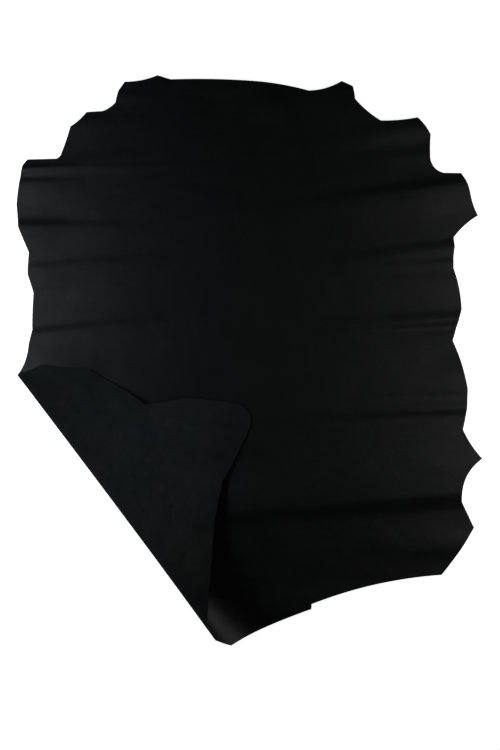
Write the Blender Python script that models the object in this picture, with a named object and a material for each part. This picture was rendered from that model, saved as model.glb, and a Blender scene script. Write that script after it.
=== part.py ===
"""A whole calf hide in black leather, laid out grain side up with its left hind corner folded over.

Sizes below are in millimetres. The hide lies on z = 0 with its neck towards +Y and its spine along
Y, and the origin is under the middle of its outline. The sheet is cut as a flat pattern, and every
point of the pattern is then carried to where it lies: up over the soft waves that run in from both
belly edges, and round the roll where the hind corner turns over and lands on the hide.
"""

import math

import bpy
import numpy as np
from mathutils.geometry import delaunay_2d_cdt

MM = 0.001

THICKNESS = 1.5
LAYER_GAP = 2.0

# The fold is one straight line seen from above, from the left flank down to the tail.
FOLD_START = (-694.0, -46.0)
FOLD_END = (-125.0, -797.0)

# The roll along the fold: low at the flank, where it is pressed, and open at the tail.
ROLL_LOW, ROLL_OPEN = 16.0, 145.0
ROLL_GROWTH = 3.2
# Share of the turned strip that curls; the rest of it comes down at an ease onto the hide.
CURL_SHARE = 0.38
CURL_EASE = 1.25

BASE, FLAP = 0, 1

# The cut edge as it lies, clockwise from the neck: each row is a corner, the bow of the stretch
# that follows it (outwards +, hollow -), and the layer that the stretch is in.
# x, y, bow, layer
CUT_EDGE = (
    (-373, 832, -5, BASE),
    (-275, 852, 0, BASE),
    (-236, 840, 3, BASE),
    (4, 836, 5, BASE),
    (178, 806, -7, BASE),
    (277, 834, 0, BASE),
    (310, 818, 1, BASE),
    (317, 780, -4, BASE),
    (394, 716, -3, BASE),
    (505, 726, 3, BASE),
    (544, 675, -1, BASE),
    (543, 603, -9, BASE),
    (583, 560, 0, BASE),
    (635, 559, 4, BASE),
    (662, 501, -3, BASE),
    (686, 432, -5, BASE),
    (613, 366, 0, BASE),
    (616, 339, -2, BASE),
    (613, 273, 5, BASE),
    (637, 150, 0, BASE),
    (610, 57, 5, BASE),
    (655, -87, 4, BASE),
    (641, -210, -4, BASE),
    (698, -297, -20, BASE),
    (637, -426, 0, BASE),
    (674, -504, 4, BASE),
    (577, -646, -15, BASE),
    (187, -733, 0, BASE),
    (186, -748, -5, BASE),
    (-53, -852, 2, BASE),
    (-99, -831, 1, BASE),
    (-125, -797, -1, FLAP),
    (-104, -489, -1, FLAP),
    (-80, -363, 4, FLAP),
    (4, -195, 14, FLAP),
    (-32, -135, 2, FLAP),
    (-146, -118, 0, FLAP),
    (-191, -116, -1, FLAP),
    (-311, -135, 4, FLAP),
    (-437, -57, 3, FLAP),
    (-491, -27, -2, FLAP),
    (-608, -15, 3, FLAP),
    (-653, -31, 1, FLAP),
    (-694, -46, -7, BASE),
    (-662, 42, 1, BASE),
    (-650, 90, 1, BASE),
    (-647, 201, 0, BASE),
    (-664, 255, 1, BASE),
    (-661, 321, 0, BASE),
    (-692, 396, 0, BASE),
    (-698, 465, 2, BASE),
    (-680, 580, 1, BASE),
    (-665, 600, 0, BASE),
    (-578, 602, -1, BASE),
    (-566, 612, -1, BASE),
    (-536, 699, -3, BASE),
    (-488, 742, 0, BASE),
    (-440, 745, -3, BASE),
    (-401, 771, 1, BASE),
    (-391, 807, 0, BASE),
)

# Waves run in from the belly edges and die out before the flat middle. Each is a ridge with one
# steep flank and one long one, and the hide touches down between two of them. On most of them in
# the neck half the steep flank is the one towards the neck, and in the tail half the other one.
BELLY_X = 700.0
HALF_LENGTH = 860.0
LEFT, RIGHT = -1, 1
# 1 gives a round crest, and more draws it narrower.
CREST_SHARPNESS = 1.5
# side, crest y at the belly, neck flank, tail flank, height, reach, rise of the crest line inwards
WAVES = (
    (LEFT, 792, 24, 40, 4, 580, 0.00),
    (LEFT, 722, 24, 84, 8, 420, 0.00),
    (LEFT, 560, 48, 18, 5, 480, 0.13),
    (LEFT, 573, 15, 30, 4, 660, 0.02),
    (LEFT, 529, 27, 90, 5, 240, 0.00),
    (LEFT, 380, 90, 130, 6, 170, 0.00),
    (LEFT, 397, 34, 80, 7, 480, 0.00),
    (LEFT, 262, 38, 98, 8, 640, 0.09),
    (LEFT, 212, 12, 60, 2, 240, 0.00),
    (LEFT, 97, 110, 36, 10, 600, 0.10),
    (LEFT, 14, 54, 42, 5, 420, 0.00),
    (RIGHT, 724, 56, 54, 6, 640, -0.16),
    (RIGHT, 624, 40, 50, 3, 480, -0.06),
    (RIGHT, 533, 48, 120, 9, 860, -0.14),
    (RIGHT, 346, 40, 64, 7, 640, -0.12),
    (RIGHT, 296, 22, 26, 7, 400, -0.06),
    (RIGHT, 244, 20, 46, 2, 380, 0.00),
    (RIGHT, 124, 46, 25, 12, 620, -0.06),
    (RIGHT, 76, 27, 42, 8, 340, -0.05),
    (RIGHT, 0, 75, 90, 9, 170, 0.00),
    (RIGHT, -90, 90, 20, 4, 420, -0.03),
    (RIGHT, -142, 36, 32, 10, 640, -0.04),
    (RIGHT, -322, 45, 50, 3, 260, 0.00),
    (RIGHT, -390, 210, 68, 19, 1250, -0.08),
    (RIGHT, -560, 90, 60, 7, 460, 0.00),
)

# Low swells and puckers that stand by themselves.
# x and y of the top, half width, neck flank, tail flank, height
PUCKERS = (
    (-430, 845, 240, 60, 125, 11),
    (-90, 850, 320, 60, 80, 4),
    (70, 773, 80, 52, 95, 5),
    (340, 810, 300, 60, 230, 16),
    (-385, 180, 200, 100, 110, 3),
    (-600, -30, 220, 62, 60, 7),
    (394, -538, 70, 42, 60, 2),
    (20, -440, 180, 150, 230, 7),
    (230, -770, 330, 120, 60, 10),
)

# Lifts of the turned flap alone, in the fold's own directions.
# along the fold, in from the fold, half length, half width, height
FLAP_LIFTS = (
    (690, 215, 200, 160, 20),
    (125, 170, 90, 80, 4),
    (235, 225, 95, 70, 7),
    (430, 270, 260, 220, 19),
)

# Spacing of the points that carry the shape.
EDGE_STEP = 28.0
EDGE_TURN = 0.035
ROLL_STEP = 44.0
ROLL_LEVELS = (0.0, 0.05, 0.1, 0.135, 0.165, 0.195, 0.225, 0.255, 0.29, 0.34, 0.42, 0.52, 0.64, 0.8, 1.0)
WAVE_STEP = (60.0, 10.5)
MIDDLE_STEP = 105.0
FLAP_STEP = 36.0
MIDDLE_HALF = 240.0
# How far the rows of points on the turned corner go before the fold's start and past its end, and
# how far in from it, which is as far as the flap reaches.
FOLD_BEFORE, FOLD_PAST = 60.0, 140.0
FLAP_REACH = 1100.0
# Room between these points and the outline, and between two sets of rows, as shares of a step.
EDGE_ROOM, ROW_ROOM = 0.35, 0.5
MERGE_DISTANCE = 1e-4
SHARP_ANGLE = math.radians(60.0)

LEATHER_COLOUR = (0.012, 0.013, 0.014, 1.0)
LEATHER_ROUGHNESS = 0.42


def smooth(x):
    """0 to 1 with level ends."""
    x = np.clip(x, 0.0, 1.0)
    return x * x * (3.0 - 2.0 * x)


def bell(x):
    """1 at x = 0, level there and where it reaches 0, at x = -1 and 1."""
    return np.cos(0.5 * math.pi * np.clip(x, -1.0, 1.0)) ** 2


def roll_section(samples=1200, halvings=40):
    """The roll's cross-section for a roll one unit high: share of its strip, way out, height.

    The sheet leaves the surface level, turns through a half circle and a little more, and then eases
    back to level. That little more is whatever brings it down to the height that it left.
    """
    share = (np.arange(samples) + 0.5) / samples
    curl = smooth((share / CURL_SHARE) ** CURL_EASE)
    ease = smooth((share - CURL_SHARE) / (1.0 - CURL_SHARE))
    least, most = 0.0, 0.5 * math.pi
    for _ in range(halvings):
        extra = 0.5 * (least + most)
        turn = (math.pi + extra) * curl - extra * ease
        if np.sin(turn).sum() > 0.0:
            least = extra
        else:
            most = extra
    out = np.concatenate([[0.0], np.cumsum(np.cos(turn)) / samples])
    up = np.concatenate([[0.0], np.cumsum(np.sin(turn)) / samples])
    return np.linspace(0.0, 1.0, samples + 1), out / up.max(), up / up.max(), 1.0 / up.max()


SHARE, WAY_OUT, WAY_UP, STRIP = roll_section()
OUTERMOST = int(np.argmax(WAY_OUT))

FOLD_ALONG = np.subtract(FOLD_END, FOLD_START)
FOLD_LENGTH = float(np.hypot(*FOLD_ALONG))
FOLD_ALONG = FOLD_ALONG / FOLD_LENGTH
FOLD_IN = np.array([-FOLD_ALONG[1], FOLD_ALONG[0]])


def to_fold(points):
    """Plan points as distances along the fold and in from it."""
    offset = np.asarray(points, float) - FOLD_START
    return offset @ FOLD_ALONG, offset @ FOLD_IN


def from_fold(along, inwards):
    return FOLD_START + np.outer(along, FOLD_ALONG) + np.outer(inwards, FOLD_IN)


def roll_height(along):
    return ROLL_LOW + (ROLL_OPEN - ROLL_LOW) * np.clip(along / FOLD_LENGTH, 0.0, None) ** ROLL_GROWTH


def lift_off(along):
    """How far in from the fold the sheet leaves the surface."""
    return roll_height(along) * WAY_OUT[OUTERMOST]


def swell(points):
    """Height of the waves at plan points."""
    x, y = points[:, 0], points[:, 1]
    total = np.zeros(len(points))
    for side, crest, neck_flank, tail_flank, height, reach, rise in WAVES:
        inwards = BELLY_X - side * x
        off_crest = y - crest - rise * inwards
        flank = np.where(off_crest > 0.0, neck_flank, tail_flank)
        total += height * bell(off_crest / flank) ** CREST_SHARPNESS * (1.0 - smooth(inwards / reach))
    for top_x, top_y, half_width, neck_flank, tail_flank, height in PUCKERS:
        flank = np.where(y > top_y, neck_flank, tail_flank)
        total += height * bell(np.hypot((x - top_x) / half_width, (y - top_y) / flank))
    return total


def flap_lift(along, inwards):
    total = np.zeros(len(along))
    for centre_along, centre_in, half_length, half_width, height in FLAP_LIFTS:
        far = np.hypot((along - centre_along) / half_length, (inwards - centre_in) / half_width)
        total += height * bell(far)
    return total


def pattern_from_plan(point, layer):
    """Where a point seen on a layer was on the flat pattern."""
    (along,), (inwards,) = to_fold([point])
    height, lift = roll_height(along), lift_off(along)
    if layer == BASE:
        if inwards >= lift:
            return point
        share = np.interp(lift - max(inwards, 0.0), height * WAY_OUT[: OUTERMOST + 1], SHARE[: OUTERMOST + 1])
    else:
        over = lift - height * WAY_OUT[OUTERMOST:]
        share = np.interp(max(inwards, 0.0), over, SHARE[OUTERMOST:])
        share += max(inwards - over[-1], 0.0) / (height * STRIP)
    return from_fold([along], [lift - share * height * STRIP])[0]


def lay_down(pattern):
    """Carries flat pattern points to where they lie. Returns the points of the sheet's middle."""
    along, inwards = to_fold(pattern)
    height, lift = roll_height(along), lift_off(along)
    strip = height * STRIP
    share = (lift - inwards) / strip
    turned = share > 0.0
    out = height * np.interp(share, SHARE, WAY_OUT) - strip * np.clip(share - 1.0, 0.0, None)
    plan_in = np.where(turned, lift - out, inwards)
    plan = from_fold(along, plan_in)
    up = height * np.interp(share, SHARE, WAY_UP) + (THICKNESS + LAYER_GAP) * smooth(share)
    flap = smooth((share - SHARE[OUTERMOST]) / (1.0 - SHARE[OUTERMOST]))
    up = np.where(turned, up + flap * flap_lift(along, plan_in), 0.0)
    return np.column_stack([plan, up + swell(plan) + 0.5 * THICKNESS])


def stretch(start, end, bow, layer):
    """Points of an arc from start up to, but not with, end. A bow of 0 gives a straight stretch.

    The edge runs clockwise round the hide, and anticlockwise on the flap, which lies face down.
    """
    start, end = np.array(start, float), np.array(end, float)
    chord = end - start
    length = np.hypot(*chord)
    outwards = np.array([-chord[1], chord[0]]) / length
    if layer == FLAP:
        outwards = -outwards
    count = max(1, math.ceil(length / EDGE_STEP))
    for step in range(count):
        t = step / count
        yield start + t * chord + 4.0 * t * (1.0 - t) * bow * outwards


def cut_outline():
    """The outline of the flat pattern, with more points where the edge goes round the roll."""
    seen = []
    for row, following in zip(CUT_EDGE, CUT_EDGE[1:] + CUT_EDGE[:1]):
        x, y, bow, layer = row
        seen += [pattern_from_plan(p, layer) for p in stretch((x, y), following[:2], bow, layer)]
    seen = np.array(seen)
    along, inwards = to_fold(seen)
    share = np.clip((lift_off(along) - inwards) / (roll_height(along) * STRIP), 0.0, CURL_SHARE)
    outline = []
    for i, point in enumerate(seen):
        following = seen[(i + 1) % len(seen)]
        turn = abs(share[(i + 1) % len(seen)] - share[i])
        count = max(1, math.ceil(np.hypot(*(following - point)) / EDGE_STEP), math.ceil(turn / EDGE_TURN))
        outline += [point + (following - point) * step / count for step in range(count)]
    return np.array(outline)


def lattice(step_x, step_y, x_from, x_to):
    """Points on the hide in rows, from x_from to x_to."""
    columns = max(1, round((x_to - x_from) / step_x))
    rows = round(2.0 * HALF_LENGTH / step_y)
    xs = np.linspace(x_from, x_to, columns + 1)
    ys = np.linspace(-HALF_LENGTH, HALF_LENGTH, rows + 1)
    return np.stack(np.meshgrid(xs, ys), -1).reshape(-1, 2)


def roll_lattice():
    """Points in lines along the roll, which fan out towards the tail as the roll opens."""
    count = round((FOLD_BEFORE + FOLD_LENGTH + FOLD_PAST) / ROLL_STEP)
    along = np.linspace(-FOLD_BEFORE, FOLD_LENGTH + FOLD_PAST, count + 1)
    lines = [
        from_fold(along, lift_off(along) - level * roll_height(along) * STRIP) for level in ROLL_LEVELS
    ]
    return np.concatenate(lines)


def clear_of_outline(points, outline, clearance):
    """The points inside the outline that are at least the clearance from it."""
    start, end = outline, np.roll(outline, -1, axis=0)
    edge = end - start
    offset = points[:, None, :] - start[None, :, :]
    t = np.clip((offset * edge).sum(-1) / (edge * edge).sum(-1), 0.0, 1.0)
    distance = np.linalg.norm(offset - t[..., None] * edge, axis=-1).min(axis=1)
    above = start[:, 1] > points[:, 1][:, None]
    crosses = above != (end[:, 1] > points[:, 1][:, None])
    rise = np.where(edge[:, 1] == 0.0, 1.0, edge[:, 1])
    at = start[:, 0] + (points[:, 1][:, None] - start[:, 1]) * edge[:, 0] / rise
    inside = (crosses & (points[:, 0][:, None] < at)).sum(axis=1) % 2 == 1
    return points[inside & (distance > clearance)]


def inner_points(outline):
    """Points over the pattern: close together across the waves and the roll, far apart between."""
    wave_x, wave_y = WAVE_STEP
    left = lattice(wave_x, wave_y, -BELLY_X + 0.5 * wave_x, -MIDDLE_HALF)
    right = lattice(wave_x, wave_y, MIDDLE_HALF, BELLY_X - 0.5 * wave_x)
    middle = lattice(MIDDLE_STEP, MIDDLE_STEP, -MIDDLE_HALF + MIDDLE_STEP, MIDDLE_HALF - 0.5 * MIDDLE_STEP)
    flat = np.concatenate([left, right, middle])
    along, inwards = to_fold(flat)
    flat = flat[inwards > lift_off(along) + ROW_ROOM * wave_y]

    steps = np.arange(-FOLD_BEFORE, FLAP_REACH, FLAP_STEP)
    flap = from_fold(*np.stack(np.meshgrid(steps, -steps), -1).reshape(-1, 2).T)
    along, inwards = to_fold(flap)
    landed = lift_off(along) - roll_height(along) * STRIP
    flap = flap[inwards < landed - ROW_ROOM * FLAP_STEP]

    fine = clear_of_outline(np.concatenate([roll_lattice(), flat]), outline, EDGE_ROOM * wave_y)
    return np.concatenate([fine, clear_of_outline(flap, outline, EDGE_ROOM * FLAP_STEP)])


def sheet_mesh():
    """The sheet's middle surface as it lies, grain side on the outside of its faces."""
    outline = cut_outline()[::-1]
    points = np.concatenate([outline, inner_points(outline)])
    rim = list(range(len(outline)))
    found = delaunay_2d_cdt([tuple(p) for p in points], [], [rim], 1, MERGE_DISTANCE)
    pattern = np.array([tuple(p) for p in found[0]])
    mesh = bpy.data.meshes.new("hide")
    mesh.from_pydata((lay_down(pattern) * MM).tolist(), [], found[2])
    mesh.validate()
    return mesh


def leather():
    material = bpy.data.materials.new("black_leather")
    material.use_nodes = True
    shader = material.node_tree.nodes["Principled BSDF"]
    shader.inputs["Base Color"].default_value = LEATHER_COLOUR
    shader.inputs["Roughness"].default_value = LEATHER_ROUGHNESS
    shader.inputs["Metallic"].default_value = 0.0
    return material


def build_hide():
    hide = bpy.data.objects.new("hide", sheet_mesh())
    bpy.context.scene.collection.objects.link(hide)
    hide.data.materials.append(leather())
    wall = hide.modifiers.new("Thickness", "SOLIDIFY")
    wall.thickness = THICKNESS * MM
    wall.offset = 0.0
    wall.use_even_offset = True
    bpy.context.view_layer.objects.active = hide
    bpy.ops.object.modifier_apply(modifier=wall.name)
    hide.data.shade_smooth()
    hide.data.set_sharp_from_angle(angle=SHARP_ANGLE)
    return hide


def main():
    for old in list(bpy.data.objects):
        bpy.data.objects.remove(old, do_unlink=True)
    build_hide()


main()
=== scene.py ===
# %% [markdown]
# # A whole leather hide with one corner turned over
#
# The real thing is a single piece: a black calf hide, tanned, dyed through and left with the edge
# that it had when it was toggled out to dry. It lies grain side up. Soft waves run in from both
# belly edges, and the left hind corner is turned over so that the napped flesh side can be seen.
#
# Nothing is sewn on or fitted, so the lesson is about one sheet: its cut edge, how it lies, how it
# rolls over at the fold, and the three finishes that a hide shows. Those are the grain, the flesh
# and the thin raw line between them.

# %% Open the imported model
import math

import bpy
import numpy as np
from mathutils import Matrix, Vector, noise as hollows
from mathutils.geometry import delaunay_2d_cdt


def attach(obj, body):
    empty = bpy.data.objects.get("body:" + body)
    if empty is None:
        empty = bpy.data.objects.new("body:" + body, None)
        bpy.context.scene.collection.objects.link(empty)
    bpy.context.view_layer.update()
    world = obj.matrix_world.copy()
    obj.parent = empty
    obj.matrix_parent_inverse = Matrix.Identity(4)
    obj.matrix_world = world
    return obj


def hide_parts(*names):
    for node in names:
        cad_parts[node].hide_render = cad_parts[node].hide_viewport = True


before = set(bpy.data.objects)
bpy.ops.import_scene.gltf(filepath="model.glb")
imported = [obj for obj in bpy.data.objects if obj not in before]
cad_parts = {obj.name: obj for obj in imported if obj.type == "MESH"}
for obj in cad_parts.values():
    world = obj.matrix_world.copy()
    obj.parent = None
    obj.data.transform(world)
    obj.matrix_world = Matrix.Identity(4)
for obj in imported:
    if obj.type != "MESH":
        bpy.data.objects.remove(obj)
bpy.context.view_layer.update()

# %% [markdown]
# ## The cut edge
#
# A tanner pins a wet hide to a frame with toggles along its edge. Each toggle leaves a point, and
# the edge between two of them is drawn in to a hollow. So the outline is written as corners with a
# bow between them, which says the same with few numbers. It could also be drawn with a Bezier
# curve, but corners with bows keep the toggle points sharp.
#
# The outline is given as it lies, seen from above. On the turned corner it is the edge of the flap
# that is seen, so each row also says which layer its stretch is in.

# %% Sizes of the hide, in millimetres
MM = 0.001
THICKNESS = 1.5
LAYER_GAP = 2.0
BELLY_X = 700.0
HALF_LENGTH = 860.0
BASE, FLAP = 0, 1

# x, y, bow outwards (+) or inwards (-) of the stretch that follows, layer
CUT_EDGE = (
    (-373, 832, -5, BASE),
    (-275, 852, 0, BASE),
    (-236, 840, 3, BASE),
    (4, 836, 5, BASE),
    (178, 806, -7, BASE),
    (277, 834, 0, BASE),
    (310, 818, 1, BASE),
    (317, 780, -4, BASE),
    (394, 716, -3, BASE),
    (505, 726, 3, BASE),
    (544, 675, -1, BASE),
    (543, 603, -9, BASE),
    (583, 560, 0, BASE),
    (635, 559, 4, BASE),
    (662, 501, -3, BASE),
    (686, 432, -5, BASE),
    (613, 366, 0, BASE),
    (616, 339, -2, BASE),
    (613, 273, 5, BASE),
    (637, 150, 0, BASE),
    (610, 57, 5, BASE),
    (655, -87, 4, BASE),
    (641, -210, -4, BASE),
    (698, -297, -20, BASE),
    (637, -426, 0, BASE),
    (674, -504, 4, BASE),
    (577, -646, -15, BASE),
    (187, -733, 0, BASE),
    (186, -748, -5, BASE),
    (-53, -852, 2, BASE),
    (-99, -831, 1, BASE),
    (-125, -797, -1, FLAP),
    (-104, -489, -1, FLAP),
    (-80, -363, 4, FLAP),
    (4, -195, 14, FLAP),
    (-32, -135, 2, FLAP),
    (-146, -118, 0, FLAP),
    (-191, -116, -1, FLAP),
    (-311, -135, 4, FLAP),
    (-437, -57, 3, FLAP),
    (-491, -27, -2, FLAP),
    (-608, -15, 3, FLAP),
    (-653, -31, 1, FLAP),
    (-694, -46, -7, BASE),
    (-662, 42, 1, BASE),
    (-650, 90, 1, BASE),
    (-647, 201, 0, BASE),
    (-664, 255, 1, BASE),
    (-661, 321, 0, BASE),
    (-692, 396, 0, BASE),
    (-698, 465, 2, BASE),
    (-680, 580, 1, BASE),
    (-665, 600, 0, BASE),
    (-578, 602, -1, BASE),
    (-566, 612, -1, BASE),
    (-536, 699, -3, BASE),
    (-488, 742, 0, BASE),
    (-440, 745, -3, BASE),
    (-401, 771, 1, BASE),
    (-391, 807, 0, BASE),
)
print(len(CUT_EDGE), "corners round the hide")

# %% [markdown]
# ## The fold
#
# Leather doesn't crease when a corner is turned over. It rolls: it leaves the table level, turns
# through a little more than a half circle, and eases down onto the hide below. The roll is low at
# the flank, where the flap is wide and heavy, and stands open at the tail, where it is narrow.
#
# A cloth simulation could find such a shape, but the fold line and the flap's edge have to lie in
# known places. So the cross-section is worked out once, from its turn along the strip, and then
# made larger or smaller along the fold.

# %% Cross-section of the roll
FOLD_START = (-694.0, -46.0)
FOLD_END = (-125.0, -797.0)
ROLL_LOW, ROLL_OPEN = 16.0, 145.0
ROLL_GROWTH = 3.2
CURL_SHARE = 0.38
CURL_EASE = 1.25


def smooth(x):
    """0 to 1 with level ends."""
    x = np.clip(x, 0.0, 1.0)
    return x * x * (3.0 - 2.0 * x)


def bell(x):
    """1 at x = 0, level there and where it reaches 0, at x = -1 and 1."""
    return np.cos(0.5 * math.pi * np.clip(x, -1.0, 1.0)) ** 2


def roll_section(samples=2400, halvings=40):
    """Share of the turned strip, way out, height and strip length, for a roll one unit high."""
    share = (np.arange(samples) + 0.5) / samples
    curl = smooth((share / CURL_SHARE) ** CURL_EASE)
    ease = smooth((share - CURL_SHARE) / (1.0 - CURL_SHARE))
    least, most = 0.0, 0.5 * math.pi
    for _ in range(halvings):
        extra = 0.5 * (least + most)
        turn = (math.pi + extra) * curl - extra * ease
        if np.sin(turn).sum() > 0.0:
            least = extra
        else:
            most = extra
    out = np.concatenate([[0.0], np.cumsum(np.cos(turn)) / samples])
    up = np.concatenate([[0.0], np.cumsum(np.sin(turn)) / samples])
    return np.linspace(0.0, 1.0, samples + 1), out / up.max(), up / up.max(), 1.0 / up.max()


SHARE, WAY_OUT, WAY_UP, STRIP = roll_section()
OUTERMOST = int(np.argmax(WAY_OUT))
FOLD_ALONG = np.subtract(FOLD_END, FOLD_START)
FOLD_LENGTH = float(np.hypot(*FOLD_ALONG))
FOLD_ALONG = FOLD_ALONG / FOLD_LENGTH
FOLD_IN = np.array([-FOLD_ALONG[1], FOLD_ALONG[0]])


def to_fold(points):
    """Plan points as distances along the fold and in from it."""
    offset = np.asarray(points, float) - FOLD_START
    return offset @ FOLD_ALONG, offset @ FOLD_IN


def from_fold(along, inwards):
    return FOLD_START + np.outer(along, FOLD_ALONG) + np.outer(inwards, FOLD_IN)


def roll_height(along):
    share = np.clip(along / FOLD_LENGTH, 0.0, None)
    return ROLL_LOW + (ROLL_OPEN - ROLL_LOW) * share**ROLL_GROWTH


def lift_off(along):
    """How far in from the fold the sheet leaves the table."""
    return roll_height(along) * WAY_OUT[OUTERMOST]


print(f"fold {FOLD_LENGTH:.0f} mm long, strip {STRIP:.2f} times the roll's height")

# %% [markdown]
# ## The waves
#
# The belly of a hide is looser than its back, so the edges have more leather than they need, and
# it stands up in waves. Each wave is a ridge, highest at the edge, that dies out before the back,
# which lies flat. Its flanks differ: the steep one mostly faces the neck on the front half and the
# tail on the hind half, so each row gives both. Between two waves the sheet touches the table.
#
# Smaller things have tables of their own. Puckers are low swells that stand alone, as at the
# corners of the neck. Lifts raise the flap where its cut edge stands off the hide. Slack is the
# unevenness that leather keeps from the roll it was stored in. It is too low for the imported solid,
# so it is in this model alone.
#
# A simulated drape would put its folds where it likes. These have known places, so they are listed
# one by one, each from one smooth bell.

# %% Waves, puckers and lifts
LEFT, RIGHT = -1, 1
CREST_SHARPNESS = 1.5
# side, crest y at the belly, neck flank, tail flank, height, reach, rise of the crest line inwards
WAVES = (
    (LEFT, 792, 24, 40, 4, 580, 0.00),
    (LEFT, 722, 24, 84, 8, 420, 0.00),
    (LEFT, 560, 48, 18, 5, 480, 0.13),
    (LEFT, 573, 15, 30, 4, 660, 0.02),
    (LEFT, 529, 27, 90, 5, 240, 0.00),
    (LEFT, 380, 90, 130, 6, 170, 0.00),
    (LEFT, 397, 34, 80, 7, 480, 0.00),
    (LEFT, 262, 38, 98, 8, 640, 0.09),
    (LEFT, 212, 12, 60, 2, 240, 0.00),
    (LEFT, 97, 110, 36, 10, 600, 0.10),
    (LEFT, 14, 54, 42, 5, 420, 0.00),
    (RIGHT, 724, 56, 54, 6, 640, -0.16),
    (RIGHT, 624, 40, 50, 3, 480, -0.06),
    (RIGHT, 533, 48, 120, 9, 860, -0.14),
    (RIGHT, 346, 40, 64, 7, 640, -0.12),
    (RIGHT, 296, 22, 26, 7, 400, -0.06),
    (RIGHT, 244, 20, 46, 2, 380, 0.00),
    (RIGHT, 124, 46, 25, 12, 620, -0.06),
    (RIGHT, 76, 27, 42, 8, 340, -0.05),
    (RIGHT, 0, 75, 90, 9, 170, 0.00),
    (RIGHT, -90, 90, 20, 4, 420, -0.03),
    (RIGHT, -142, 36, 32, 10, 640, -0.04),
    (RIGHT, -322, 45, 50, 3, 260, 0.00),
    (RIGHT, -390, 210, 68, 19, 1250, -0.08),
    (RIGHT, -560, 90, 60, 7, 460, 0.00),
)
# along the fold, in from the fold, half length, half width, height
FLAP_LIFTS = (
    (690, 215, 200, 160, 20),
    (125, 170, 90, 80, 4),
    (235, 225, 95, 70, 7),
    (430, 270, 260, 220, 19),
)
# x and y of the top, half width, neck flank, tail flank, height
PUCKERS = (
    (-430, 845, 240, 60, 125, 11),
    (-90, 850, 320, 60, 80, 4),
    (70, 773, 80, 52, 95, 5),
    (340, 810, 300, 60, 230, 16),
    (-385, 180, 200, 100, 110, 3),
    (-600, -30, 220, 62, 60, 7),
    (394, -538, 70, 42, 60, 2),
    (20, -440, 180, 150, 230, 7),
    (230, -770, 330, 120, 60, 10),
)


def swell(points):
    """Height of the waves at plan points."""
    x, y = points[:, 0], points[:, 1]
    total = np.zeros(len(points))
    for side, crest, neck_flank, tail_flank, height, reach, rise in WAVES:
        inwards = BELLY_X - side * x
        off_crest = y - crest - rise * inwards
        flank = np.where(off_crest > 0.0, neck_flank, tail_flank)
        fading = 1.0 - smooth(inwards / reach)
        total += height * bell(off_crest / flank) ** CREST_SHARPNESS * fading
    for top_x, top_y, half_width, neck_flank, tail_flank, height in PUCKERS:
        flank = np.where(y > top_y, neck_flank, tail_flank)
        total += height * bell(np.hypot((x - top_x) / half_width, (y - top_y) / flank))
    return total


# length, width and height of the soft unevenness, in rows from coarse to fine
SLACK = (
    (95.0, 60.0, 1.2),
    (44.0, 28.0, 0.9),
    (20.0, 14.0, 0.4),
)
# how far the whole is let down, so that its lowest places touch the table
SLACK_SETTLING = 0.5


def slack(pattern):
    """Height of the soft unevenness: low swells, longer across the hide.

    A row's height is also its place in the depth of the noise, which sets the rows apart.
    """
    total = np.full(len(pattern), -SLACK_SETTLING)
    for length, width, height in SLACK:
        places = [Vector((x / length, y / width, height)) for x, y in pattern]
        total += height * (0.5 + 0.5 * np.array([hollows.noise(place) for place in places]))
    return total


def flap_lift(along, inwards):
    """How far the flap is raised at places given along the fold and in from it."""
    total = np.zeros(len(along))
    for centre_along, centre_in, half_length, half_width, height in FLAP_LIFTS:
        far = np.hypot((along - centre_along) / half_length, (inwards - centre_in) / half_width)
        total += height * bell(far)
    return total


def lay_down(pattern):
    """Carries flat pattern points to where they lie. Returns the points of the sheet's middle."""
    along, inwards = to_fold(pattern)
    height, lift = roll_height(along), lift_off(along)
    strip = height * STRIP
    share = (lift - inwards) / strip
    turned = share > 0.0
    out = height * np.interp(share, SHARE, WAY_OUT) - strip * np.clip(share - 1.0, 0.0, None)
    plan_in = np.where(turned, lift - out, inwards)
    plan = from_fold(along, plan_in)
    up = height * np.interp(share, SHARE, WAY_UP) + (THICKNESS + LAYER_GAP) * smooth(share)
    flap = smooth((share - SHARE[OUTERMOST]) / (1.0 - SHARE[OUTERMOST]))
    up = np.where(turned, up + flap * flap_lift(along, plan_in), 0.0)
    return np.column_stack([plan, up + swell(plan) + slack(pattern) + 0.5 * THICKNESS])


print(len(WAVES), "waves, the highest", max(row[4] for row in WAVES), "mm")

# %% [markdown]
# ## The flat pattern
#
# Cloth keeps its size, so the sheet is first drawn flat and then carried to where it lies. The cut
# edge is known as it lies, so each of its points is led back round the roll to the flat pattern.
#
# The pattern is then filled with points and joined up into triangles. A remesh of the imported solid
# would round off the toggle points and the thin edge, and a plain grid would leave steps there. So
# Delaunay triangles are used, which keep the outline exactly. The points lie in rows: close across
# the waves, wider along them, and in lines along the roll.

# %% The outline of the flat pattern
# longest way between two edge points, and largest share of the roll's strip between them
EDGE_STEP = 7.0
EDGE_TURN = 0.012


def pattern_from_plan(point, layer):
    """Where a point seen on a layer was on the flat pattern."""
    (along,), (inwards,) = to_fold([point])
    height, lift = roll_height(along), lift_off(along)
    if layer == BASE:
        if inwards >= lift:
            return point
        rolled = slice(OUTERMOST + 1)
        share = np.interp(lift - max(inwards, 0.0), height * WAY_OUT[rolled], SHARE[rolled])
    else:
        over = lift - height * WAY_OUT[OUTERMOST:]
        share = np.interp(max(inwards, 0.0), over, SHARE[OUTERMOST:])
        share += max(inwards - over[-1], 0.0) / (height * STRIP)
    return from_fold([along], [lift - share * height * STRIP])[0]


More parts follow.
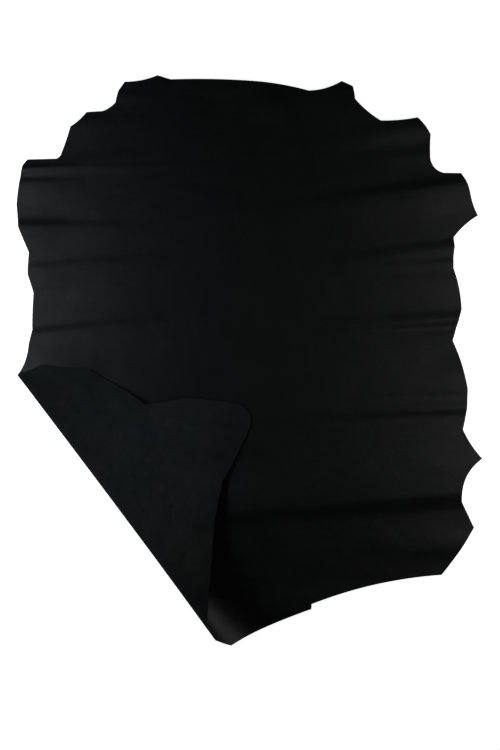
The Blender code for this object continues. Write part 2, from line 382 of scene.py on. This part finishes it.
def stretch(start, end, bow, layer):
    """Points of an arc from start up to, but not with, end.

    The edge runs clockwise round the hide, and anticlockwise on the flap, which lies face down.
    """
    start, end = np.array(start, float), np.array(end, float)
    chord = end - start
    length = np.hypot(*chord)
    outwards = np.array([-chord[1], chord[0]]) / length
    if layer == FLAP:
        outwards = -outwards
    count = max(1, math.ceil(length / EDGE_STEP))
    for step in range(count):
        t = step / count
        yield start + t * chord + 4.0 * t * (1.0 - t) * bow * outwards


def cut_outline():
    """The outline of the flat pattern, with more points where the edge goes round the roll."""
    seen = []
    for row, following in zip(CUT_EDGE, CUT_EDGE[1:] + CUT_EDGE[:1]):
        x, y, bow, layer = row
        seen += [pattern_from_plan(p, layer) for p in stretch((x, y), following[:2], bow, layer)]
    seen = np.array(seen)
    along, inwards = to_fold(seen)
    share = np.clip((lift_off(along) - inwards) / (roll_height(along) * STRIP), 0.0, CURL_SHARE)
    outline = []
    for i, point in enumerate(seen):
        following = seen[(i + 1) % len(seen)]
        gap = np.hypot(*(following - point))
        turn = abs(share[(i + 1) % len(seen)] - share[i])
        count = max(1, math.ceil(gap / EDGE_STEP), math.ceil(turn / EDGE_TURN))
        outline += [point + (following - point) * step / count for step in range(count)]
    return np.array(outline)[::-1]


outline = cut_outline()
print(len(outline), "edge points")

# %% Points inside the outline
ROLL_STEP = 9.0
ROLL_LEVELS = 64
ROLL_CROWDING = 1.15
WAVE_STEP = (11.0, 6.5)
FLAP_STEP = 8.5
EDGE_CLEARANCE = 2.6
POINTS_AT_ONCE = 2000
# Fields that hold the roll and the flap, along the fold and in from it.
ROLL_FIELD = (-60.0, FOLD_LENGTH + 140.0)
FLAP_FIELD = ((-60.0, -1000.0), (1100.0, 0.0))


def inside(points, clearance):
    """The points inside the outline and at least the clearance from it, tried a few at a time."""
    kept = []
    start, end = outline, np.roll(outline, -1, axis=0)
    edge = end - start
    length = (edge * edge).sum(-1)
    rise = np.where(edge[:, 1] == 0.0, 1.0, edge[:, 1])
    for few in np.array_split(points, max(1, len(points) // POINTS_AT_ONCE)):
        offset = few[:, None, :] - start[None, :, :]
        t = np.clip((offset * edge).sum(-1) / length, 0.0, 1.0)
        distance = np.linalg.norm(offset - t[..., None] * edge, axis=-1).min(axis=1)
        level = few[:, 1][:, None]
        crosses = (start[:, 1] > level) != (end[:, 1] > level)
        at = start[:, 0] + (level - start[:, 1]) * edge[:, 0] / rise
        within = (crosses & (few[:, 0][:, None] < at)).sum(axis=1) % 2 == 1
        kept.append(few[within & (distance > clearance)])
    return np.concatenate(kept)


def brick_rows(step_x, step_y, low, high):
    """Points in rows, every second row moved by half a step."""
    xs = np.arange(low[0], high[0], step_x)
    ys = np.arange(low[1], high[1], step_y)
    grid = np.stack(np.meshgrid(xs, ys), -1)
    grid[1::2, :, 0] += 0.5 * step_x
    return grid.reshape(-1, 2)


flat_rows = brick_rows(*WAVE_STEP, (-BELLY_X, -HALF_LENGTH), (BELLY_X, HALF_LENGTH))
along, inwards = to_fold(flat_rows)
flat_rows = flat_rows[inwards > lift_off(along) + 0.5 * WAVE_STEP[1]]

along = np.arange(*ROLL_FIELD, ROLL_STEP)
levels = np.linspace(0.0, 1.0, ROLL_LEVELS) ** ROLL_CROWDING
roll_rows = np.concatenate(
    [from_fold(along, lift_off(along) - level * roll_height(along) * STRIP) for level in levels]
)

flap_rows = brick_rows(FLAP_STEP, FLAP_STEP, *FLAP_FIELD)
along, inwards = flap_rows.T
landed = inwards < lift_off(along) - roll_height(along) * STRIP - 0.5 * FLAP_STEP
flap_rows = from_fold(along[landed], inwards[landed])

filling = inside(np.concatenate([flat_rows, roll_rows, flap_rows]), EDGE_CLEARANCE)
print(len(filling), "points inside")

# %% [markdown]
# ## Laying the sheet down
#
# The flat triangles become a mesh whose points are carried to where they lie. The flat places are
# kept as the UV map, in metres, so that the grain and the nap are the same size all over the hide
# and run round the roll without a break, as they do on leather.
#
# Solidify then gives the sheet its thickness, half to each side. It also sorts the faces into the
# three finishes: the outer skin is grain, the inner skin is flesh, and the rim is the cut edge.

# %% The sheet as it lies
INSIDE_ONLY, JOIN_WITHIN = 1, 1e-4

places = [tuple(p) for p in np.concatenate([outline, filling])]
border = list(range(len(outline)))
found = delaunay_2d_cdt(places, [], [border], INSIDE_ONLY, JOIN_WITHIN)
pattern = np.array([tuple(p) for p in found[0]])

hide_mesh = bpy.data.meshes.new("hide_leather")
hide_mesh.from_pydata((lay_down(pattern) * MM).tolist(), [], found[2])
hide_mesh.validate()
hide = bpy.data.objects.new("hide_leather", hide_mesh)
bpy.context.scene.collection.objects.link(hide)

corner_of = np.empty(len(hide_mesh.loops), np.int32)
hide_mesh.loops.foreach_get("vertex_index", corner_of)
pattern_map = hide_mesh.uv_layers.new(name="pattern")
pattern_map.data.foreach_set("uv", (pattern[corner_of] * MM).ravel().astype(np.float32))
print(len(hide_mesh.vertices), "points,", len(hide_mesh.polygons), "triangles")

# %% Give it thickness
FINISHES = ("hide_grain", "hide_flesh", "hide_cut_edge")
FLESH_SLOT, EDGE_SLOT = 1, 2
SHARP_TURN = 60.0

wall = hide.modifiers.new("Thickness", "SOLIDIFY")
wall.thickness = THICKNESS * MM
wall.offset = 0.0
wall.use_even_offset = True
wall.material_offset = FLESH_SLOT
wall.material_offset_rim = EDGE_SLOT

for finish in FINISHES:
    hide_mesh.materials.append(bpy.data.materials.new(finish))

bpy.ops.object.select_all(action="DESELECT")
hide.select_set(True)
bpy.context.view_layer.objects.active = hide
bpy.ops.object.modifier_apply(modifier=wall.name)
bpy.ops.object.shade_smooth()
hide.data.set_sharp_from_angle(angle=math.radians(SHARP_TURN))
print("sides:", [round(side, 3) for side in hide.dimensions], "m")
print(len(hide.data.polygons), "faces")

# %% [markdown]
# ## The finishes
#
# All three come from the same black dye. What tells them apart is how they throw back light. The
# grain is closed and lightly waxed, so it has a soft shine broken by fine pebbles and wrinkles. The
# flesh side is brushed to a nap with hardly any shine, and is blotched all over. Its colour also has
# painted shade: it is darker at both ends of the fold and towards the flap's right side. The cut edge
# is open fibre.
#
# The pattern could be painted, but noise and Voronoi cells on the UV map make it at any size.

# %% Helpers for materials
def finish_nodes(name):
    """An emptied material with a Principled shader, and its flat pattern coordinates."""
    material = bpy.data.materials[name]
    material.use_nodes = True
    tree = material.node_tree
    shader = tree.nodes["Principled BSDF"]
    place = tree.nodes.new("ShaderNodeUVMap")
    place.uv_map = "pattern"
    return tree, shader, place.outputs["UV"]


def noise(tree, place, scale, detail=4.0, roughness=0.5, distortion=0.0):
    node = tree.nodes.new("ShaderNodeTexNoise")
    node.inputs["Scale"].default_value = scale
    node.inputs["Detail"].default_value = detail
    node.inputs["Roughness"].default_value = roughness
    node.inputs["Distortion"].default_value = distortion
    tree.links.new(place, node.inputs["Vector"])
    return node.outputs["Fac"]


def pebbles(tree, place, scale):
    """Distance to the nearest cell wall: low in the creases between pebbles."""
    node = tree.nodes.new("ShaderNodeTexVoronoi")
    node.feature = "DISTANCE_TO_EDGE"
    node.inputs["Scale"].default_value = scale
    node.inputs["Randomness"].default_value = 1.0
    tree.links.new(place, node.inputs["Vector"])
    return node.outputs["Distance"]


def spread(tree, value, low_in, high_in, low_out, high_out):
    node = tree.nodes.new("ShaderNodeMapRange")
    for name, number in (
        ("From Min", low_in),
        ("From Max", high_in),
        ("To Min", low_out),
        ("To Max", high_out),
    ):
        node.inputs[name].default_value = number
    tree.links.new(value, node.inputs["Value"])
    return node.outputs["Result"]


def sum_of(tree, first, second):
    node = tree.nodes.new("ShaderNodeMath")
    node.operation = "ADD"
    tree.links.new(first, node.inputs[0])
    tree.links.new(second, node.inputs[1])
    return node.outputs["Value"]


def times(tree, first, second):
    """Two colours, or a colour and a value, multiplied."""
    node = tree.nodes.new("ShaderNodeVectorMath")
    node.operation = "MULTIPLY"
    tree.links.new(first, node.inputs[0])
    tree.links.new(second, node.inputs[1])
    return node.outputs["Vector"]


def along_line(tree, place, direction):
    """How far a point of the flat pattern lies in a direction, in metres."""
    node = tree.nodes.new("ShaderNodeVectorMath")
    node.operation = "DOT_PRODUCT"
    node.inputs[1].default_value = (*direction, 0.0)
    tree.links.new(place, node.inputs[0])
    return node.outputs["Value"]


def shades(tree, value, stops):
    """A colour by a value from 0 to 1, from rows of a place and its shade or colour."""
    node = tree.nodes.new("ShaderNodeValToRGB")
    for _ in stops[2:]:
        node.color_ramp.elements.new(0.5)
    for stop, (place, *shade) in zip(node.color_ramp.elements, stops):
        stop.position = place
        stop.color = (*np.broadcast_to(shade, 3), 1.0)
    tree.links.new(value, node.inputs["Fac"])
    return node.outputs["Color"]


def between(tree, value, dark, light):
    """A colour between two, by a value from 0 to 1."""
    node = tree.nodes.new("ShaderNodeMix")
    node.data_type = "RGBA"
    node.inputs["A"].default_value = (*dark, 1.0)
    node.inputs["B"].default_value = (*light, 1.0)
    tree.links.new(value, node.inputs["Factor"])
    return node.outputs["Result"]


def relief(tree, height, depth, strength):
    node = tree.nodes.new("ShaderNodeBump")
    node.inputs["Distance"].default_value = depth
    node.inputs["Strength"].default_value = strength
    tree.links.new(height, node.inputs["Height"])
    return node.outputs["Normal"]


# %% Grain side
# where most values of a noise lie
NOISE_LOW, NOISE_HIGH = 0.3, 0.7
PEBBLE_SCALE = 420.0
# shares of a pebble's size and of the relief's depth
CREASE_WIDTH, CREASE_DEPTH = 0.25, 0.3
GRAIN_DARK, GRAIN_LIGHT = (0.0024, 0.0026, 0.0027), (0.0036, 0.0038, 0.0040)
WAX_SMOOTH, WAX_DULL = 0.45, 0.49
GRAIN_DEPTH = 0.0010

tree, shader, place = finish_nodes("hide_grain")
dye = between(tree, noise(tree, place, scale=3.0, detail=5.0), GRAIN_DARK, GRAIN_LIGHT)
tree.links.new(dye, shader.inputs["Base Color"])
patches = noise(tree, place, scale=9.0, detail=6.0)
wax = spread(tree, patches, NOISE_LOW, NOISE_HIGH, WAX_SMOOTH, WAX_DULL)
tree.links.new(wax, shader.inputs["Roughness"])
cells = spread(tree, pebbles(tree, place, PEBBLE_SCALE), 0.0, CREASE_WIDTH, 0.0, CREASE_DEPTH)
wrinkles = noise(tree, place, scale=70.0, detail=6.0, roughness=0.55)
grain = relief(tree, sum_of(tree, cells, wrinkles), GRAIN_DEPTH, strength=0.5)
tree.links.new(grain, shader.inputs["Normal"])
shader.inputs["Specular IOR Level"].default_value = 0.5
print("grain pebbles about", round(1000.0 / PEBBLE_SCALE, 1), "mm")

# %% Flesh side
NAP_DARK, NAP_LIGHT = (0.0180, 0.0216, 0.0218), (0.0304, 0.0352, 0.0354)
TINT_COOL, TINT_WARM = (0.74, 1.00, 1.00), (1.14, 0.94, 1.02)
FLECK_EDGE, FLECK_MIDDLE, FLECK_SHADE = 0.63, 0.72, 0.7
NAP_DEPTH = 0.0004
# share of the fold's length, and the painted shade there, in red, green and blue
PAINTED_SHADE_ALONG_FOLD = (
    (0.00, 0.49, 0.49, 0.49),
    (0.10, 0.51, 0.52, 0.52),
    (0.42, 0.97, 0.93, 0.94),
    (0.60, 1.00, 0.90, 0.93),
    (0.76, 0.83, 0.76, 0.69),
    (0.90, 0.54, 0.51, 0.47),
)
# x of the places between which the painted shade changes over the flap
FLAP_LEFT, FLAP_RIGHT = -480.0, -20.0
# share of the way between them, and how light the painted shade leaves the nap there
PAINTED_SHADE_OVER_FLAP = (
    (0.00, 0.92),
    (0.40, 0.90),
    (0.62, 1.00),
    (0.74, 1.02),
    (0.85, 0.93),
    (1.00, 0.76),
)

tree, shader, place = finish_nodes("hide_flesh")
blotches = noise(tree, place, scale=24.0, detail=8.0, roughness=0.65, distortion=0.3)
blotches = spread(tree, blotches, NOISE_LOW, NOISE_HIGH, 0.0, 1.0)
dye = between(tree, blotches, NAP_DARK, NAP_LIGHT)
tint = between(tree, noise(tree, place, scale=7.0, detail=3.0), TINT_COOL, TINT_WARM)
flecks = noise(tree, place, scale=22.0)
flecks = spread(tree, flecks, FLECK_EDGE, FLECK_MIDDLE, 1.0, FLECK_SHADE)

fold_place = float(np.dot(FOLD_START, FOLD_ALONG)) * MM
fold_finish = fold_place + FOLD_LENGTH * MM
share_along = along_line(tree, place, FOLD_ALONG)
share_along = spread(tree, share_along, fold_place, fold_finish, 0.0, 1.0)

# On the flat pattern the flap is a mirror image, so the way to its right is mirrored too.
flap_right = 2.0 * FOLD_ALONG[0] * FOLD_ALONG - (1.0, 0.0)
flap_place = (float(np.dot(FOLD_START, flap_right)) - FOLD_START[0]) * MM
left_place, right_place = flap_place + FLAP_LEFT * MM, flap_place + FLAP_RIGHT * MM
share_over = along_line(tree, place, flap_right)
share_over = spread(tree, share_over, left_place, right_place, 0.0, 1.0)

# Painted shade: the nap's colour is darkened towards both ends of the fold and the flap's right side.
painted_shade_along = shades(tree, share_along, PAINTED_SHADE_ALONG_FOLD)
painted_shade = times(tree, painted_shade_along, shades(tree, share_over, PAINTED_SHADE_OVER_FLAP))
colour = times(tree, times(tree, dye, tint), times(tree, painted_shade, flecks))
tree.links.new(colour, shader.inputs["Base Color"])
nap = sum_of(tree, noise(tree, place, scale=900.0, detail=3.0), noise(tree, place, scale=160.0))
tree.links.new(relief(tree, nap, NAP_DEPTH, strength=0.4), shader.inputs["Normal"])
shader.inputs["Roughness"].default_value = 0.92
shader.inputs["Specular IOR Level"].default_value = 0.08
shader.inputs["Sheen Weight"].default_value = 0.06
shader.inputs["Sheen Roughness"].default_value = 0.5
# Prints the width over which the painted shade changes across the flap.
print("flap", round(FLAP_RIGHT - FLAP_LEFT), "mm wide where the nap's lie changes")

# %% Cut edge
FIBRE_DARK, FIBRE_LIGHT = (0.008, 0.009, 0.010), (0.020, 0.022, 0.023)
FIBRE_DEPTH = 0.0003

tree, shader, place = finish_nodes("hide_cut_edge")
fibre = noise(tree, place, scale=700.0)
tree.links.new(between(tree, fibre, FIBRE_DARK, FIBRE_LIGHT), shader.inputs["Base Color"])
tree.links.new(relief(tree, fibre, FIBRE_DEPTH, strength=0.5), shader.inputs["Normal"])
shader.inputs["Roughness"].default_value = 0.85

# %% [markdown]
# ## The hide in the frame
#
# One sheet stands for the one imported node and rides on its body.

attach(hide, "root")
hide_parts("hide")

# %% [markdown]
# ## Floor, light and camera
#
# Black leather shows its shape by its highlights alone, so the light comes low from both sides, as
# large soft panels. The left one is stronger and a little cool, and the right one keeps the far
# flanks from going flat. Four fainter panels stand further off, close to the floor, so that the
# grain also shines when it is looked at from the side. The camera looks straight down.
#
# The floor is plain white paper. It glows evenly, which keeps it pale without a light above that
# would flatten the waves. Its glow is kept out of the leather, which it would grey from below.

# %% Floor
FLOOR_SIDE, FLOOR_TOP = 40.0, -0.0005
PAPER, PAPER_GLOW = (0.9, 0.9, 0.9), 0.93

bpy.ops.object.select_all(action="DESELECT")
bpy.ops.mesh.primitive_plane_add(size=FLOOR_SIDE, location=(0.0, 0.0, FLOOR_TOP))
floor = bpy.context.active_object
floor.name = "floor"
floor.visible_glossy = False
floor.visible_diffuse = False

paper = bpy.data.materials.new("floor_paper")
paper.use_nodes = True
shader = paper.node_tree.nodes["Principled BSDF"]
shader.inputs["Base Color"].default_value = (*PAPER, 1.0)
shader.inputs["Roughness"].default_value = 1.0
shader.inputs["Specular IOR Level"].default_value = 0.0
shader.inputs["Emission Color"].default_value = (1.0, 1.0, 1.0, 1.0)
shader.inputs["Emission Strength"].default_value = PAPER_GLOW
floor.data.materials.append(paper)

# %% Light
WHITE = (1.0, 1.0, 1.0)
# place, aim, width and height, watts, colour
PANELS = {
    "light_left": ((-1.18, 0.10, 0.60), (0.0, 0.05, 0.0), (1.1, 0.5), 6.45, (0.87, 0.94, 1.0)),
    "light_right": ((1.19, 0.03, 0.60), (0.0, 0.0, 0.0), (1.1, 0.5), 4.2, WHITE),
    "light_low_left": ((-4.5, 0.0, 0.60), (0.0, 0.0, 0.6), (9.0, 1.1), 10.0, WHITE),
    "light_low_right": ((4.5, 0.0, 0.60), (0.0, 0.0, 0.6), (9.0, 1.1), 10.0, WHITE),
    "light_low_neck": ((0.0, 4.5, 0.60), (0.0, 0.0, 0.6), (9.0, 1.1), 4.0, WHITE),
    "light_low_tail": ((0.0, -4.5, 0.60), (0.0, 0.0, 0.6), (9.0, 1.1), 4.0, WHITE),
}
SKY = 0.002

world = bpy.data.worlds.new("studio")
world.use_nodes = True
sky = world.node_tree.nodes["Background"]
sky.inputs["Color"].default_value = (*WHITE, 1.0)
sky.inputs["Strength"].default_value = SKY
bpy.context.scene.world = world
bpy.context.scene.view_settings.view_transform = "Standard"


def soft_panel(name, place, aim, size, power, colour):
    light = bpy.data.lights.new(name, "AREA")
    light.color = colour
    light.shape = "RECTANGLE"
    light.size, light.size_y = size
    light.energy = power
    lamp = bpy.data.objects.new(name, light)
    lamp.location = place
    lamp.rotation_euler = (Vector(aim) - Vector(place)).to_track_quat("-Z", "Y").to_euler()
    lamp.visible_camera = False
    bpy.context.scene.collection.objects.link(lamp)
    return lamp


for name, panel in PANELS.items():
    soft_panel(name, *panel)
print(len(PANELS), "soft panels")

# %% Camera
FRAME_HEIGHT = 2.25
FRAME_MIDDLE = (0.00225, -0.0465)
LENS, SENSOR = 100.0, 36.0
camera_data = bpy.data.cameras.new("camera")
camera_data.sensor_fit = "VERTICAL"
camera_data.sensor_height = SENSOR
camera_data.lens = LENS
camera = bpy.data.objects.new("camera", camera_data)
camera.location = (*FRAME_MIDDLE, FRAME_HEIGHT * LENS / SENSOR)
bpy.context.scene.collection.objects.link(camera)
bpy.context.scene.camera = camera
print("camera", round(camera.location.z, 2), "m above the hide")
